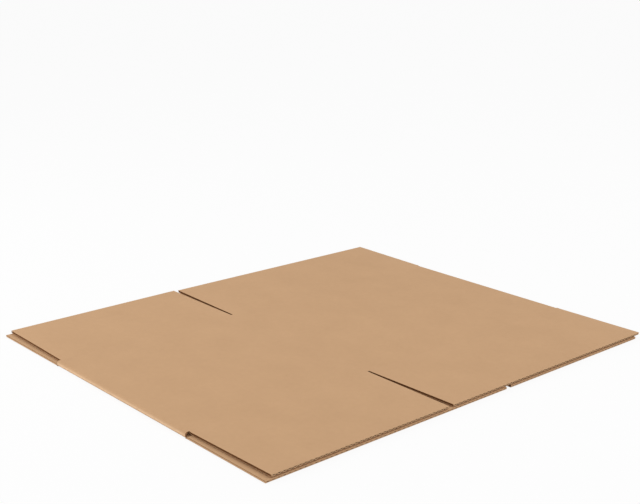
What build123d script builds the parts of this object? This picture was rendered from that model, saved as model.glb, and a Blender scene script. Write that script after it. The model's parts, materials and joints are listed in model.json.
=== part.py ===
"""Regular slotted carton of single-wall board, glued into a sleeve and shipped flat.

The sleeve has four panels, long and short in turn. It is folded over at two opposite corner
creases, so it lies in two layers, and each layer is a long and a short panel side by side. The
other two creases lie flat, one in each layer, and the glued joint is at the lower one. Every panel
has a flap at both ends, beyond a crushed score.

X runs across the panels, Y along the flutes and Z up. The origin is under the middle of the sheet.
"""
import os

from build123d import *

# Panels, from crease to crease
long_panel = 358.0
short_panel = 260.0
depth = 260.0
flap_trim = 0.5

# Board: two liners with a fluted medium between them
board = 3.2
liner = 0.3
medium = 0.3
flute_pitch = 6.9
flute_crest = 1.2
flute_margin = 1.5
flute_stop = 6.0

# Sleeve: the two layers and the folds that join them
layer_gap = 0.6
fold_wall = 1.6
nose_flat = 0.6
teardrop_radius = 1.5
teardrop_length = 9.0

# Scores: the board is pressed thin from the inside, and only marked outside
score_width = 8.0
score_thickness = 1.4
crease_width = 5.0
crease_depth = 1.4
mark_width = 2.4
mark_depth = 0.25

# Slots between the flaps, at their inner end and at their mouth. Those at the folds are cut from
# the minor flaps' side, and the major flaps run on nearly flush with the folds
minor_inset = 5.5
minor_inset_free = 8.0
major_inset = 0.6
upper_slot_inner = 2.0
upper_slot_mouth = 7.0
lower_slot_inner = 6.0
lower_slot_mouth = 8.0

# Glued joint in the lower layer
joint_gap = 2.5
tab_width = 35.0
tab_thickness = 1.5
tab_clearance = 0.2
tab_end = 5.0
tab_taper = 9.0

# Loose flaps of the upper layer: the slit at each score, and how far they spring up
hinge_gap = 0.3
front_major_lift = 0.35
front_minor_lift = 0.35
rear_lift = 0.55

# What follows from them
sheet_width = long_panel + short_panel
sheet_height = 2 * board + layer_gap
flap_length = short_panel / 2 - flap_trim
upper_crease = short_panel - sheet_width / 2
lower_crease = long_panel - sheet_width / 2
score_line = depth / 2
middle = sheet_height / 2


def block(x_range, y_range, z_range):
    """Rectangular solid between two values on each axis"""
    low = (x_range[0], y_range[0], z_range[0])
    size = [span[1] - span[0] for span in (x_range, y_range, z_range)]
    return Pos(*low) * Box(*size, align=Align.MIN)


def across(sketch, x_range):
    """Solid with a section drawn in Y and Z, running along X"""
    return extrude(Plane.YZ.offset(x_range[0]) * sketch, x_range[1] - x_range[0])


def along(sketch, y_range):
    """Solid with a section drawn in X and Z, running along Y"""
    return extrude(Plane.XZ.offset(-y_range[0]) * sketch, y_range[0] - y_range[1])


def turned_over(shape):
    """The same shape in the other layer: the layers are each other's half turn about Y"""
    return shape.rotate(Axis((0, 0, middle), (0, 1, 0)), 180)


def inner_opening():
    """Section of the space between the layers: a narrow gap that swells to a teardrop in each fold"""
    tail = sheet_width / 2 - fold_wall - teardrop_length
    opening = Rectangle(2 * tail, layer_gap)
    for side in (-1, 1):
        centre = side * (sheet_width / 2 - fold_wall - teardrop_radius)
        round_end = Pos(centre, 0) * Circle(teardrop_radius)
        mouth = Line((side * tail, -layer_gap / 2), (side * tail, layer_gap / 2))
        opening += make_hull([*round_end.edges(), mouth])
    return opening


def sleeve():
    """Both layers of panels with the two folds"""
    outline = RectangleRounded(sheet_width, sheet_height, middle - nose_flat / 2)
    section = Pos(0, middle) * (outline - inner_opening())
    return along(section, (-score_line, score_line))


def crease(x, layer_bottom, layer_top, inside_up):
    """Cutter for a crease that lies flat: a groove inside and a shallow mark outside"""
    inside, outside = (layer_top, layer_bottom) if inside_up else (layer_bottom, layer_top)
    groove = Pos(x, inside) * Rectangle(crease_width, 2 * crease_depth)
    mark = Pos(x, outside) * Rectangle(mark_width, 2 * mark_depth)
    return along(groove + mark, (-score_line, score_line))


def score(y, reach):
    """Cutter for the scores of both layers at one end, pressed thin from the inside"""
    half = score_width / 2
    section = Polygon(
        (y - half, board),
        (y, score_thickness),
        (y + half, board),
        (y + half, board + layer_gap),
        (y, sheet_height - score_thickness),
        (y - half, board + layer_gap),
        align=None,
    )
    return across(section, (-reach, reach))


def joint_tab():
    """Crushed tab of the long panel, glued on the inside of the short one"""
    root = score_line - tab_end
    tip = root - tab_taper
    end = lower_crease + tab_width
    top = board + layer_gap - tab_clearance
    plan = Polygon((lower_crease, -root), (end, -tip), (end, tip), (lower_crease, root), align=None)
    return extrude(Pos(0, 0, top - tab_thickness) * plan, tab_thickness)


def joint_slit():
    """Cutter between the two edges of the blank, as deep as the tab behind them"""
    bottom_of_tab = board + layer_gap - tab_clearance - tab_thickness
    return block((lower_crease, lower_crease + joint_gap), (-score_line, score_line), (0, bottom_of_tab))


def flute_openings(left, right):
    """Sections of the flutes that fit between two edges of a flap, each the next one upside down"""
    half_pitch = flute_pitch / 2
    wide = flute_pitch - 2 * medium - flute_crest
    half_height = board / 2 - liner
    opening = Polygon(
        (-wide / 2, -half_height),
        (wide / 2, -half_height),
        (flute_crest / 2, half_height),
        (-flute_crest / 2, half_height),
        align=None,
    )
    room = right - left - 2 * flute_margin - wide
    count = int(room // half_pitch) + 1
    first = (left + right - (count - 1) * half_pitch) / 2
    level = sheet_height - board / 2
    return [Pos(first + i * half_pitch, level) * Rot(0, 0, 180 * (i % 2)) * opening for i in range(count)]


def flap(side, insets, slot_widths, gap_at_score):
    """Flap of the upper layer at the front, lying flat, with its flutes open at the free edge"""
    score_y = -score_line - gap_at_score
    free_y = -score_line - flap_length
    fold_x, fold_free_x = (side * (sheet_width / 2 - inset) for inset in insets)
    slot_x, slot_free_x = (upper_crease + side * width / 2 for width in slot_widths)
    corners = [(fold_x, score_y), (slot_x, score_y), (slot_free_x, free_y), (fold_free_x, free_y)]
    plan = make_face(Polyline(*corners, close=True))
    board_blank = extrude(Pos(0, 0, sheet_height) * plan, board, dir=(0, 0, -1))
    board_blank -= score(-score_line, sheet_width / 2)
    openings = Sketch() + flute_openings(*sorted((fold_free_x, slot_free_x)))
    return board_blank - along(openings, (free_y, -score_line - flute_stop))


def flaps(slot_widths, gap_at_score):
    """The four flaps of the upper layer, lying flat"""
    minor = flap(-1, (minor_inset, minor_inset_free), slot_widths, gap_at_score)
    major = flap(1, (major_inset, major_inset), slot_widths, gap_at_score)
    return {
        "front_minor_flap": minor,
        "front_major_flap": major,
        "rear_minor_flap": mirror(minor, about=Plane.XZ),
        "rear_major_flap": mirror(major, about=Plane.XZ),
    }


def carton_body():
    """The sleeve and the four lower flaps, which the rest of the sheet lies on"""
    body = sleeve() + joint_tab() - joint_slit()
    body -= crease(upper_crease, sheet_height - board, sheet_height, inside_up=False)
    body -= crease(lower_crease, 0, board, inside_up=True)
    scored = sheet_width / 2 - minor_inset
    body = body - score(-score_line, scored) - score(score_line, scored)
    lower_flaps = flaps((lower_slot_inner, lower_slot_mouth), 0).values()
    return body + [turned_over(lower_flap) for lower_flap in lower_flaps]


def loose_flaps():
    """The four flaps of the upper layer, each turned up a little about its score"""
    lifts = {
        "front_minor_flap": -front_minor_lift,
        "front_major_flap": -front_major_lift,
        "rear_minor_flap": rear_lift,
        "rear_major_flap": rear_lift,
    }
    sprung = {}
    for name, flat in flaps((upper_slot_inner, upper_slot_mouth), hinge_gap).items():
        end = -1 if name.startswith("front") else 1
        hinge = Axis((0, end * score_line, sheet_height), (1, 0, 0))
        sprung[name] = flat.rotate(hinge, lifts[name])
    return sprung


os.makedirs("parts", exist_ok=True)
for name, shape in {"carton_body": carton_body(), **loose_flaps()}.items():
    export_step(shape, f"parts/{name}.step")
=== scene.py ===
"""Regular slotted carton of single-wall board, glued into a sleeve and folded flat."""
import json
import math

import bmesh
import bpy
from mathutils import Matrix, Vector, noise


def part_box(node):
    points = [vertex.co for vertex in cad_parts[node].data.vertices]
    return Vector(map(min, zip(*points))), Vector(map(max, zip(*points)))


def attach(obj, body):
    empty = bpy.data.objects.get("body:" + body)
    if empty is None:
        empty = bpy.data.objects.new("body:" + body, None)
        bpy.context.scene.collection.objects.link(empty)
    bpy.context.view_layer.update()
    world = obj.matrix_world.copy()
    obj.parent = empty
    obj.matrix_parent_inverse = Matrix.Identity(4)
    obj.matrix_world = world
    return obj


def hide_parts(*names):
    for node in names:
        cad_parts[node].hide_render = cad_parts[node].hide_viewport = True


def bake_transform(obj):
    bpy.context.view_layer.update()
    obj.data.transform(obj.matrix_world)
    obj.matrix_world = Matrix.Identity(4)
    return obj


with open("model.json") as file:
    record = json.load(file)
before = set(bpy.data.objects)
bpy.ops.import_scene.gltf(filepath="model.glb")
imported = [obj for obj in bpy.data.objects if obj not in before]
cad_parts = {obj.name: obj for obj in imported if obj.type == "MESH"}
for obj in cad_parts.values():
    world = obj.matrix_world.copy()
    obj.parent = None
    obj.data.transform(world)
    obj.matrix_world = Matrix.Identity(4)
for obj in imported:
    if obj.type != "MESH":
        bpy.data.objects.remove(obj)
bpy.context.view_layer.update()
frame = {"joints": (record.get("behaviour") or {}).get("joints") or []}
mm = 0.001

# The board
# Single-wall corrugated board of brown kraft: two smooth liners glued to the crests of a fluted
# medium. The flutes run along Y, and the knife leaves them open at the ends of the flaps.

liner = 0.3 * mm
medium = 0.3 * mm
board = 3.2 * mm
flute_pitch = 6.9 * mm
glue_bite = 0.03 * mm
steps_per_flute = 14

kraft_dark = (0.525, 0.315, 0.168)
kraft_light = (0.645, 0.397, 0.217)
shive = (0.400, 0.235, 0.128)
# The medium's colours are darker than the liners, partly its own paper and partly painted shade of the
# flute hollows
medium_dark_and_shade = (0.290, 0.135, 0.050)
medium_light_and_shade = (0.410, 0.205, 0.085)
cut_dark = (0.500, 0.302, 0.162)
cut_light = (0.610, 0.380, 0.215)
# Pale paper of wear on the cut edges, and of a painted highlight along the fold noses
wear_and_highlight_paper = (0.860, 0.575, 0.350)
paper_shine = 0.25

cloud_noise = {"stretch": (22, 18, 22), "detail": 3}
blotch_noise = {"stretch": (150, 130, 150), "detail": 3}
fibre_noise = {"stretch": (420, 1300, 1300), "detail": 4, "roughness": 0.6}
hair_noise = {"stretch": (500, 2600, 2600), "detail": 2}
speck_noise = {"stretch": (620, 1100, 900), "detail": 2}
patch_noise = {"stretch": (260, 160, 260), "detail": 3}

least_light = 0.02
cloud_share = 0.50
blotch_share = 0.30
fibre_share = 0.16
hair_range = (0.62, 0.80)
hair_strength = 0.30
speck_range = (0.68, 0.80)
speck_strength = 0.45
least_rough = 0.76
fibre_rough = 0.12
least_patch = 0.55
patch_share = 0.9

blotch_height = 0.5
washboard_depth = 0.010 * mm
liner_relief = 0.010 * mm
medium_relief = 0.02 * mm
cut_relief = 0.05 * mm

half_grid = 0.5
grid_tolerance = 0.0001
crisp_angle = 38


def add(tree, kind, values=(), **settings):
    """A new node with its settings and the values of its sockets"""
    made = tree.nodes.new(kind)
    for name, value in settings.items():
        setattr(made, name, value)
    for name, value in dict(values).items():
        made.inputs[name].default_value = value
    return made


def noise_at(tree, vector, stretch, detail, roughness=0.5):
    """Fractal noise on a vector that is stretched by a number of waves a metre on each axis"""
    mapping = add(tree, "ShaderNodeMapping", {"Scale": stretch})
    tree.links.new(vector, mapping.inputs["Vector"])
    made = add(tree, "ShaderNodeTexNoise", {"Scale": 1.0, "Detail": detail, "Roughness": roughness})
    tree.links.new(mapping.outputs["Vector"], made.inputs["Vector"])
    return made.outputs["Fac"]


def math_node(tree, operation, *terms):
    """Result of a sum on sockets and numbers"""
    made = add(tree, "ShaderNodeMath", operation=operation)
    for socket, term in zip(made.inputs, terms):
        if isinstance(term, bpy.types.NodeSocket):
            tree.links.new(term, socket)
        else:
            socket.default_value = term
    return made.outputs[0]


def ramp_of(tree, value, low, high):
    """Smooth step of a value from 0 at low to 1 at high"""
    ends = {"From Min": low, "From Max": high}
    made = add(tree, "ShaderNodeMapRange", ends, interpolation_type="SMOOTHSTEP")
    tree.links.new(value, made.inputs["Value"])
    return made.outputs["Result"]


def mixed(tree, share, first, second):
    """Colour between two others"""
    made = add(tree, "ShaderNodeMix", data_type="RGBA")
    tree.links.new(share, made.inputs["Factor"])
    for socket, colour in ((made.inputs["A"], first), (made.inputs["B"], second)):
        if isinstance(colour, bpy.types.NodeSocket):
            tree.links.new(colour, socket)
        else:
            socket.default_value = (*colour, 1)
    return made.outputs["Result"]


def paper_group():
    """Unbleached paper: cloudy tone, fibres across the flutes, dark shives and pale hairs"""
    tree = bpy.data.node_groups.new("kraft_paper", "ShaderNodeTree")
    for name, kind in (
        ("Vector", "NodeSocketVector"),
        ("Dark", "NodeSocketColor"),
        ("Light", "NodeSocketColor"),
        ("Shive", "NodeSocketColor"),
    ):
        tree.interface.new_socket(name=name, in_out="INPUT", socket_type=kind)
    for name, kind in (
        ("Color", "NodeSocketColor"),
        ("Height", "NodeSocketFloat"),
        ("Rough", "NodeSocketFloat"),
    ):
        tree.interface.new_socket(name=name, in_out="OUTPUT", socket_type=kind)
    source = tree.nodes.new("NodeGroupInput")
    result = tree.nodes.new("NodeGroupOutput")
    vector = source.outputs["Vector"]

    clouds = noise_at(tree, vector, **cloud_noise)
    blotches = noise_at(tree, vector, **blotch_noise)
    fibres = noise_at(tree, vector, **fibre_noise)
    hairs = noise_at(tree, vector, **hair_noise)
    specks = noise_at(tree, vector, **speck_noise)

    tone = math_node(tree, "MULTIPLY_ADD", clouds, cloud_share, least_light)
    tone = math_node(tree, "MULTIPLY_ADD", blotches, blotch_share, tone)
    tone = math_node(tree, "MULTIPLY_ADD", fibres, fibre_share, tone)
    colour = mixed(tree, tone, source.outputs["Dark"], source.outputs["Light"])
    pale = math_node(tree, "MULTIPLY", ramp_of(tree, hairs, *hair_range), hair_strength)
    colour = mixed(tree, pale, colour, source.outputs["Light"])
    dark = math_node(tree, "MULTIPLY", ramp_of(tree, specks, *speck_range), speck_strength)
    colour = mixed(tree, dark, colour, source.outputs["Shive"])
    tree.links.new(colour, result.inputs["Color"])

    height = math_node(tree, "MULTIPLY_ADD", blotches, blotch_height, fibres)
    tree.links.new(height, result.inputs["Height"])
    rough = math_node(tree, "MULTIPLY_ADD", fibres, fibre_rough, least_rough)
    tree.links.new(rough, result.inputs["Rough"])
    return tree


def paper_material(name, dark, light, washboard, paper_relief):
    """Matt paper over the flutes. Washboard is how far it sinks between their crests"""
    material = bpy.data.materials.new(name)
    material.use_nodes = True
    tree = material.node_tree
    shader = tree.nodes["Principled BSDF"]
    shader.inputs["Specular IOR Level"].default_value = paper_shine
    place = add(tree, "ShaderNodeTexCoord").outputs["Object"]
    sheet = add(tree, "ShaderNodeGroup", node_tree=bpy.data.node_groups["kraft_paper"])
    tree.links.new(place, sheet.inputs["Vector"])
    sheet.inputs["Dark"].default_value = (*dark, 1)
    sheet.inputs["Light"].default_value = (*light, 1)
    sheet.inputs["Shive"].default_value = (*shive, 1)

    # Paler paper where the attribute marks wear on the cut edges and a painted highlight on the fold
    # noses
    wear_and_highlight_share = add(tree, "ShaderNodeAttribute", attribute_name="wear_and_highlight").outputs["Fac"]
    patches = noise_at(tree, place, **patch_noise)
    patches = math_node(tree, "MULTIPLY_ADD", patches, patch_share, least_patch)
    patchy_wear_and_highlight = math_node(tree, "MULTIPLY", wear_and_highlight_share, patches)
    colour = mixed(tree, patchy_wear_and_highlight, sheet.outputs["Color"], wear_and_highlight_paper)
    tree.links.new(colour, shader.inputs["Base Color"])
    tree.links.new(sheet.outputs["Rough"], shader.inputs["Roughness"])

    across = add(tree, "ShaderNodeSeparateXYZ")
    tree.links.new(place, across.inputs[0])
    phase = math_node(tree, "MULTIPLY", across.outputs["X"], 2 * math.pi / flute_pitch)
    wave = math_node(tree, "COSINE", phase)
    relief = math_node(tree, "MULTIPLY", sheet.outputs["Height"], paper_relief)
    relief = math_node(tree, "MULTIPLY_ADD", wave, washboard / 2, relief)
    bump = add(tree, "ShaderNodeBump", {"Strength": 1.0, "Distance": 1.0})
    tree.links.new(relief, bump.inputs["Height"])
    tree.links.new(bump.outputs["Normal"], shader.inputs["Normal"])
    return material


paper_group()
liner_paper = paper_material("kraft_liner", kraft_dark, kraft_light, washboard_depth, liner_relief)
medium_and_shade_paper = paper_material("fluted_medium_and_shade", medium_dark_and_shade, medium_light_and_shade, 0, medium_relief)
cut_edge = paper_material("cut_paper_edge", cut_dark, cut_light, 0, cut_relief)
LINER, MEDIUM_AND_SHADE, CUT = range(3)
# The liners' hidden faces, seen only down the open flutes, take the medium's darker colours as painted
# shade
liner_papers = (LINER, MEDIUM_AND_SHADE, CUT, CUT)
medium_papers = (MEDIUM_AND_SHADE, MEDIUM_AND_SHADE, CUT, MEDIUM_AND_SHADE)
crushed_papers = (MEDIUM_AND_SHADE, MEDIUM_AND_SHADE, MEDIUM_AND_SHADE, MEDIUM_AND_SHADE)


def slab(bm, columns, rows, shown, hidden, papers, rub_and_highlight=None):
    """Sheet between two faces, each a function of a column and a row that gives a point. Its papers
    are for the shown face, the hidden face, the edges at the end rows and those at the end columns"""
    shown_paper, hidden_paper, row_paper, column_paper = papers
    wear_and_highlight = bm.verts.layers.float.get("wear_and_highlight") or bm.verts.layers.float.new("wear_and_highlight")
    across = len(columns) - 1
    along = len(rows) - 1
    made = bmesh.ops.create_grid(bm, x_segments=across, y_segments=along, size=half_grid)
    first = list(made["verts"])
    faces = list({face for vert in first for face in vert.link_faces})
    pushed = bmesh.ops.extrude_face_region(bm, geom=faces)["geom"]
    second = [item for item in pushed if isinstance(item, bmesh.types.BMVert)]
    far_side = [item for item in pushed if isinstance(item, bmesh.types.BMFace)]
    every = {face for vert in first + second for face in vert.link_faces}
    for face in every:
        at_side = abs(face.calc_center_median().x) > half_grid - grid_tolerance
        face.material_index = column_paper if at_side else row_paper
        face.smooth = True
    for face in faces:
        face.material_index = shown_paper
    for face in far_side:
        face.material_index = hidden_paper
    for verts, put in ((first, shown), (second, hidden)):
        for vert in verts:
            column = columns[round((vert.co.x + half_grid) * across)]
            row = rows[round((vert.co.y + half_grid) * along)]
            vert.co = put(column, row)
            vert[wear_and_highlight] = rub_and_highlight(column, row) if rub_and_highlight else 0.0


def finished(bm, name, body=None):
    """Object with the board's papers, faces outwards, and crisp where it turns sharply"""
    bmesh.ops.recalc_face_normals(bm, faces=bm.faces)
    mesh = bpy.data.meshes.new(name)
    bm.to_mesh(mesh)
    bm.free()
    mesh.set_sharp_from_angle(angle=math.radians(crisp_angle))
    for material in (liner_paper, medium_and_shade_paper, cut_edge):
        mesh.materials.append(material)
    made = bpy.data.objects.new(name, mesh)
    bpy.context.scene.collection.objects.link(made)
    if body:
        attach(made, body)
    return made


# Sleeve of four panels
# The blank's long and short panels, glued into a tube and pressed flat: two layers joined by a
# crushed fold at each side, with a crease that lies flat in each layer.

body_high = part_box("carton_body")[1]
minor_low, minor_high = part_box("front_minor_flap")
major_low, major_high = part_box("front_major_flap")
hinge = next(joint for joint in frame["joints"] if joint["name"] == "front_minor_score")
half_width = body_high.x
sheet_top = body_high.z
middle = sheet_top / 2
score_y = abs(hinge["pos_m"][1])
upper_crease = (minor_high.x + major_low.x) / 2
lower_crease = -upper_crease
minor_edge = minor_low.x

score_half = 4.0 * mm
score_thickness = 1.4 * mm
mark_half = 1.5 * mm
mark_depth = 0.05 * mm
mark_steps = 3
fold_wall = 1.6 * mm
teardrop_radius = 1.5 * mm
teardrop_length = 9.0 * mm
nose_flat = 0.6 * mm
# The fold noses are paled by a painted highlight, partly real wear
nose_highlight_and_wear = 0.9
nose_highlight_spread = 1.4
joint_gap = 2.5 * mm
fold_steps = 24


def dent(distance, half, depth):
    """Depth of a rounded groove at a distance from its middle"""
    if abs(distance) >= half:
        return 0.0
    return depth * (1 + math.cos(math.pi * distance / half)) / 2


def pressed(x, y):
    """How far the inner face is pressed towards the outer one by the score at the panel's end"""
    if abs(x) > abs(minor_edge):
        return 0.0
    near = max(0.0, 1 - abs(abs(y) - score_y) / score_half)
    return near * (board - score_thickness)


def fold(angles):
    """Stations round the right fold: the board's outer face and inner face, each as x and z"""
    corner = middle - nose_flat / 2
    centre = half_width - fold_wall - teardrop_radius
    stations = []
    for angle in angles:
        up = math.sin(math.radians(angle))
        out = math.cos(math.radians(angle))
        level = math.copysign(nose_flat / 2, up) if up else 0.0
        outer = (half_width - corner + corner * out, middle + level + corner * up)
        inner = (centre + teardrop_radius * out, middle + teardrop_radius * up)
        stations.append((outer, inner))
    return stations


def flat(xs, upward):
    """Stations on a flat stretch of the upper or the lower layer"""
    outer_z = sheet_top if upward else 0.0
    inner_z = sheet_top - board if upward else board
    sign = -1 if upward else 1
    marks = [dent(x - upper_crease, mark_half, mark_depth) if upward else 0.0 for x in xs]
    return [((x, outer_z + sign * groove), (x, inner_z)) for x, groove in zip(xs, marks)]


def panel_face(depth, through=False):
    """Face of the sleeve at a depth below its outer face, or above its inner face"""

    def put(station, y):
        (outer_x, outer_z), (inner_x, inner_z) = station
        outer = Vector((outer_x, y, outer_z))
        inner = Vector((inner_x, y, inner_z))
        wall = outer - inner
        inner += wall.normalized() * pressed(outer_x, y) * (wall.length / board)
        wall = outer - inner
        if through:
            return inner + wall.normalized() * depth
        on_score = abs(outer_x) < abs(minor_edge)
        scored = dent(abs(y) - score_y, mark_half, mark_depth) if on_score else 0.0
        return outer - wall.normalized() * (depth + scored)

    return put


def nose_highlight_and_rub(station, y):
    """Painted highlight and wear along the fold, where it sticks out most"""
    x, z = station[0]
    if abs(x) < half_width - middle:
        return 0.0
    near = max(0.0, 1 - abs(z - middle) / middle)
    return nose_highlight_and_wear * min(1.0, nose_highlight_spread * near * near)


tail = half_width - fold_wall - teardrop_length
mark_offsets = [mark_half * k / mark_steps for k in range(mark_steps, -mark_steps - 1, -1)]
crease_xs = [upper_crease + offset for offset in mark_offsets]
right_fold = fold([-90 + 180 * k / fold_steps for k in range(fold_steps + 1)])
left_fold = [((-o[0], o[1]), (-i[0], i[1])) for o, i in reversed(right_fold)]
blank = (
    flat([lower_crease + joint_gap, tail], False)
    + right_fold
    + flat([tail, *crease_xs, -tail], True)
    + left_fold
    + flat([-tail, lower_crease], False)
)
half_rows = [0, score_y - score_half]
half_rows += [score_y - offset for offset in mark_offsets if offset >= 0]
panel_rows = [-y for y in reversed(half_rows[1:])] + half_rows

bm = bmesh.new()
slab(bm, blank, panel_rows, panel_face(0), panel_face(liner), liner_papers, nose_highlight_and_rub)
slab(bm, blank, panel_rows, panel_face(0, True), panel_face(liner, True), liner_papers)
bite = liner - glue_bite
for crushed_fold in (right_fold, left_fold):
    slab(bm, crushed_fold, panel_rows, panel_face(bite), panel_face(bite, True), crushed_papers)
sleeve = finished(bm, "panel_sleeve", "carton_body")
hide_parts("carton_body")

# Flaps
# Each panel runs on past a score into a flap. The knife cuts slots between the flaps, wider at
# the mouth, trims the fold away beside the minor ones, and rolls the outer liner over the cut.

upper_slot_half = (1.4 * mm, 3.8 * mm)
lower_slot_half = (3.0 * mm, 4.0 * mm)
minor_inset_free = 8.0 * mm
fold_sides = {-1: (minor_edge, minor_inset_free - half_width), 1: (major_high.x, major_high.x)}
flap_length = body_high.y - score_y
bend = 0.9 * mm
end_roll_reach = 1.0 * mm
side_roll_reach = 0.8 * mm
slot_roll = 0.15 * mm
least_rest = 0.02
edge_wear = 0.15
crush_reach = 2.5 * mm
inner_crush = 0.45 * mm
medium_swell = 0.33 * mm
medium_trim = 0.25 * mm
fray = 0.10 * mm
fray_across = 700
fray_through = 1500
fray_seed = 7.3

bend_steps = 6
mark_shoulder = 2.4 * mm
plain_steps = 8
crush_steps = 3
edge_steps = (0, 0.02, 0.08, 0.18, 0.33, 0.55, 1.0)
inside_steps = 10


def rolled(distance, reach, depth):
    """How far the outer liner is rolled over at a distance from the cut, and how steeply"""
    near = min(1.0, max(0.0, 1 - distance / reach))
    rest = math.sqrt(1 - near * near)
    return depth * (1 - rest), depth / reach * near / max(rest, least_rest)


def crushed(out):
    """Share of the crushing by the knife at a distance beyond the score"""
    return max(0.0, 1 - (flap_length - out) / crush_reach) ** 2


def flap_rows():
    """Distances beyond the score, close together where the board bends and where it was cut"""
    bending = [bend * k / bend_steps for k in range(bend_steps + 1)]
    pressing = [mark_half, mark_shoulder, score_half]
    last = flap_length - crush_reach
    plain = [score_half + (last - score_half) * k / plain_steps for k in range(1, plain_steps + 1)]
    crushing = [last + (crush_reach - end_roll_reach) * k / crush_steps for k in range(1, crush_steps)]
    cutting = [flap_length - end_roll_reach * step for step in reversed(edge_steps)]
    return bending + pressing + plain + crushing + cutting


def flap(bm, side, slot_half, end_roll, fold_roll, lift, twist):
    """Flap of the upper layer at the front, from its fold edge on one side to the slot. Lift is
    the angle it springs up by. Twist raises its free edge at the fold side and lowers it at the slot"""
    fold_x, fold_free_x = fold_sides[side]
    width = abs(upper_crease - fold_x)
    flutes = round(width / flute_pitch)
    pivot = Vector((0, -score_y, sheet_top))

    def across(share, out):
        """X at a share of the width, where the sides slant to the free edge"""
        away = out / flap_length
        near = fold_x + (fold_free_x - fold_x) * away
        far = upper_crease + side * (slot_half[0] + (slot_half[1] - slot_half[0]) * away)
        return near + share * (far - near)

    def laid(share, out, z, trim=0.0, shift=0.0):
        """Point of the flat flap, sprung up about its score"""
        x = across(share, out) + shift
        spot = Vector((x * fray_across, z * fray_through, fray_seed))
        ragged = fray * noise.noise(spot) - trim
        reach = out + (ragged if out > flap_length - end_roll_reach / 2 else 0.0)
        bent = min(1.0, out / bend)
        angle = lift * bent * bent * (3 - 2 * bent)
        rise = twist * (1 - 2 * share) * (out / flap_length) ** 2
        point = Vector((x, -score_y - reach, z + rise)) - pivot
        return pivot + Matrix.Rotation(-angle, 3, "X") @ point

    def faces(share, out):
        """Levels of the outer and the inner face, and how the outer one leans over the cuts"""
        scored = dent(out, mark_half, mark_depth)
        thin = max(0.0, 1 - out / score_half) * (board - score_thickness)
        whole = 1 - thin / (board - score_thickness)
        cuts = (
            (*rolled(flap_length - out, end_roll_reach, end_roll), (0, 1)),
            (*rolled(share * width, side_roll_reach, fold_roll * whole), (side, 0)),
            (*rolled((1 - share) * width, side_roll_reach, slot_roll * whole), (-side, 0)),
        )
        drop, slope, way = max(cuts)
        lean = Vector((way[0] * slope, way[1] * slope, 1)).normalized()
        crush = inner_crush * crushed(out)
        return sheet_top - scored - drop, sheet_top - board + thin + crush, lean

    def outer_liner(depth):
        """Face of the outer liner at a depth below its outside"""

        def put(share, out):
            top, bottom, lean = faces(share, out)
            return laid(share, out - depth * lean.y, top - depth * lean.z, shift=-depth * lean.x)

        return put

    def inner_liner(height):
        """Face of the inner liner at a height above its inside"""

        def put(share, out):
            return laid(share, out, faces(share, out)[1] + height)

        return put

    def medium_face(sign):
        """Upper or lower face of the fluted medium, swollen where the knife crushed it"""

        def put(share, out):
            top, bottom, lean = faces(share, out)
            reach = max(0.0, (top - bottom) / 2 - liner - medium / 2 + glue_bite)
            turn = 2 * math.pi * share * flutes + math.pi
            slope = 2 * math.pi * reach / flute_pitch * math.sin(turn)
            level = (top + bottom) / 2 - reach * math.cos(turn)
            thickness = medium * math.hypot(1, slope) / 2
            thickness += medium_swell * crushed(out)
            return laid(share, out, level + sign * thickness, medium_trim)

        return put

    def cut_rub(share, out):
        """Wear along the cut edges"""
        near = min(flap_length - out, share * width, (1 - share) * width)
        return edge_wear * max(0.0, 1 - near / end_roll_reach)

    rows = flap_rows()
    columns = [k / (flutes * steps_per_flute) for k in range(flutes * steps_per_flute + 1)]
    rim = [step * side_roll_reach / width for step in edge_steps]
    inside = [rim[-1] + (1 - 2 * rim[-1]) * k / inside_steps for k in range(1, inside_steps)]
    coarse = rim + inside + [1 - step for step in reversed(rim)]
    slab(bm, coarse, rows, outer_liner(0), outer_liner(liner), liner_papers, cut_rub)
    slab(bm, coarse, rows, inner_liner(0), inner_liner(liner), liner_papers, cut_rub)
    slab(bm, columns, rows, medium_face(1), medium_face(-1), medium_papers)


# Lower flaps
# The four flaps of the lower layer lie flat under the rest of the sheet, with wider slots.
# They are the same board as the panels and stay on the body, for the carton lies on them.

lower_end_roll = 1.3 * mm
lower_fold_roll = 2.2 * mm
turned_over = Matrix.Rotation(math.pi, 3, "Y")
for end, end_name in ((1, "front"), (-1, "rear")):
    for side, size_name in ((-1, "short"), (1, "long")):
        bm = bmesh.new()
        flap(bm, side, lower_slot_half, lower_end_roll, lower_fold_roll, lift=0.0, twist=0.0)
        bmesh.ops.scale(bm, vec=(1, end, 1), verts=bm.verts)
        bmesh.ops.rotate(bm, cent=(0, 0, middle), matrix=turned_over, verts=bm.verts)
        finished(bm, f"lower_{end_name}_{size_name}_flap", "carton_body")

# Upper flaps
# The four flaps of the upper layer stay joined to their panels by the pressed board of the score,
# and spring up a little about it.

upper_end_roll = 0.8 * mm
upper_fold_roll = 0.3 * mm
twists = {
    "front_minor_flap": 0.15 * mm,
    "front_major_flap": 0.20 * mm,
    "rear_minor_flap": -0.90 * mm,
    "rear_major_flap": 0.10 * mm,
}
sags = {"front_minor_flap": 0.40 * mm, "front_major_flap": 0.40 * mm}
for name, twist in twists.items():
    end = 1 if name.startswith("front") else -1
    side = -1 if "minor" in name else 1
    lift = math.asin((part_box(name)[1].z - sheet_top - sags.get(name, 0.0)) / flap_length)
    bm = bmesh.new()
    flap(bm, side, upper_slot_half, upper_end_roll, upper_fold_roll, lift, twist)
    bmesh.ops.scale(bm, vec=(1, end, 1), verts=bm.verts)
    piece = finished(bm, f"upper_{name}")
    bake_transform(piece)
    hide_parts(name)

# Glue tab
# Crushed strip on the edge of the long panel, glued to the inside of the short one. It shows
# only as the bottom of the narrow slit between the two edges of the blank, underneath.

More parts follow.
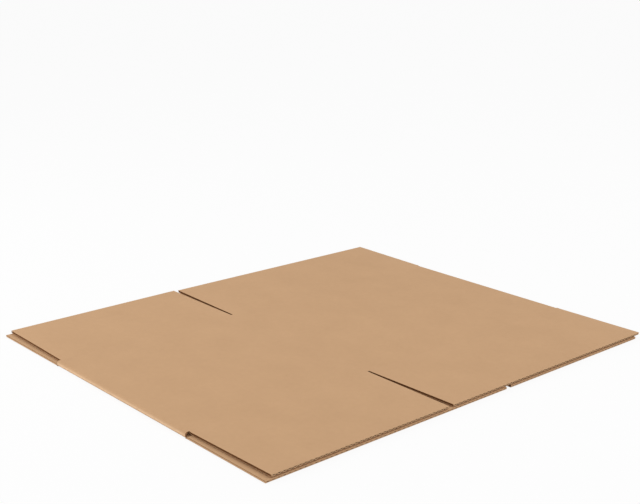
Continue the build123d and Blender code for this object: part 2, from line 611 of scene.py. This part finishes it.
tab_width = 35.0 * mm
tab_thickness = 1.5 * mm
tab_rise = 0.4 * mm
tab_end = 5.0 * mm
tab_taper = 9.0 * mm
tab_top = board + tab_rise
tab_bottom = tab_top - tab_thickness
tab_columns = [lower_crease, lower_crease + tab_width]
tab_rows = [-1, 1]


def tab_face(z):
    """Face of the tab at a level, shorter towards its free edge"""

    def put(x, share):
        along = (x - lower_crease) / tab_width
        return Vector((x, share * (score_y - tab_end - tab_taper * along), z))

    return put


bm = bmesh.new()
slab(bm, tab_columns, tab_rows, tab_face(tab_bottom), tab_face(tab_top), liner_papers)
finished(bm, "glue_tab", "carton_body")

# Floor, light and camera
# A pale floor without an edge, an even sky, a large soft lamp from the front right with a weaker
# one at the back left, and the photograph's viewpoint.

white = (1, 1, 1, 1)
floor_size = 60.0
floor_colour = (0.85, 0.85, 0.85, 1)
floor_glow = 0.88
glow_strength = 1.01
horizon_white = 0.964
sky_strength = 0.71

key_place = (1.0, -1.5, 1.9)
key_size = 1.6
key_power = 13.0
fill_place = (-1.1, 1.0, 0.7)
fill_size = 1.0
fill_power = 7.0

photo_width = 640
focal_pixels = 1151.9
sensor_width = 36
far_limit = 100
eye = (-0.9270, -1.0233, 0.5095)
heading = 41.856
looking_down = 16.013
camera_roll = 0.674


def seen_share(tree, amount):
    """An amount for what the camera sees, also in a reflection, and none for light on the object"""
    path = add(tree, "ShaderNodeLightPath")
    seen = math_node(tree, "MAXIMUM", path.outputs["Is Camera Ray"], path.outputs["Is Glossy Ray"])
    seen = math_node(tree, "MAXIMUM", seen, path.outputs["Is Transmission Ray"])
    return math_node(tree, "MULTIPLY", seen, amount)


def lamp(name, place, size, power):
    """Square soft lamp that points at the sheet"""
    light = bpy.data.lights.new(name, "AREA")
    light.size = size
    light.energy = power
    made = bpy.data.objects.new(name, light)
    made.location = place
    made.rotation_mode = "QUATERNION"
    made.rotation_quaternion = (-Vector(place)).to_track_quat("-Z", "Y")
    bpy.context.scene.collection.objects.link(made)


bpy.ops.mesh.primitive_plane_add(size=floor_size)
floor = bpy.context.object
floor.name = "floor"
floor_material = bpy.data.materials.new("pale_floor")
floor_material.use_nodes = True
tree = floor_material.node_tree
tree.nodes.remove(tree.nodes["Principled BSDF"])
matt = add(tree, "ShaderNodeBsdfDiffuse", {"Color": floor_colour})
glow = add(tree, "ShaderNodeEmission", {"Color": white, "Strength": glow_strength})
both = add(tree, "ShaderNodeMixShader")
tree.links.new(seen_share(tree, floor_glow), both.inputs[0])
tree.links.new(matt.outputs[0], both.inputs[1])
tree.links.new(glow.outputs[0], both.inputs[2])
tree.links.new(both.outputs[0], tree.nodes["Material Output"].inputs["Surface"])
floor.data.materials.append(floor_material)

world = bpy.data.worlds.new("studio")
bpy.context.scene.world = world
world.use_nodes = True
tree = world.node_tree
sky = tree.nodes["Background"]
sky.inputs["Color"].default_value = white
sky.inputs["Strength"].default_value = sky_strength
horizon = add(tree, "ShaderNodeBackground", {"Color": white, "Strength": horizon_white})
both = add(tree, "ShaderNodeMixShader")
tree.links.new(seen_share(tree, 1.0), both.inputs[0])
tree.links.new(sky.outputs[0], both.inputs[1])
tree.links.new(horizon.outputs[0], both.inputs[2])
tree.links.new(both.outputs[0], tree.nodes["World Output"].inputs["Surface"])

lamp("key_lamp", key_place, key_size, key_power)
lamp("fill_lamp", fill_place, fill_size, fill_power)

camera = bpy.data.cameras.new("camera")
camera.sensor_width = sensor_width
camera.lens = sensor_width * focal_pixels / photo_width
camera.clip_end = far_limit
viewer = bpy.data.objects.new("camera", camera)
viewer.matrix_world = (
    Matrix.Translation(eye)
    @ Matrix.Rotation(math.radians(-heading), 4, "Z")
    @ Matrix.Rotation(math.radians(90 - looking_down), 4, "X")
    @ Matrix.Rotation(math.radians(camera_roll), 4, "Z")
)
bpy.context.scene.collection.objects.link(viewer)
bpy.context.scene.camera = viewer
bpy.context.scene.view_settings.view_transform = "Standard"
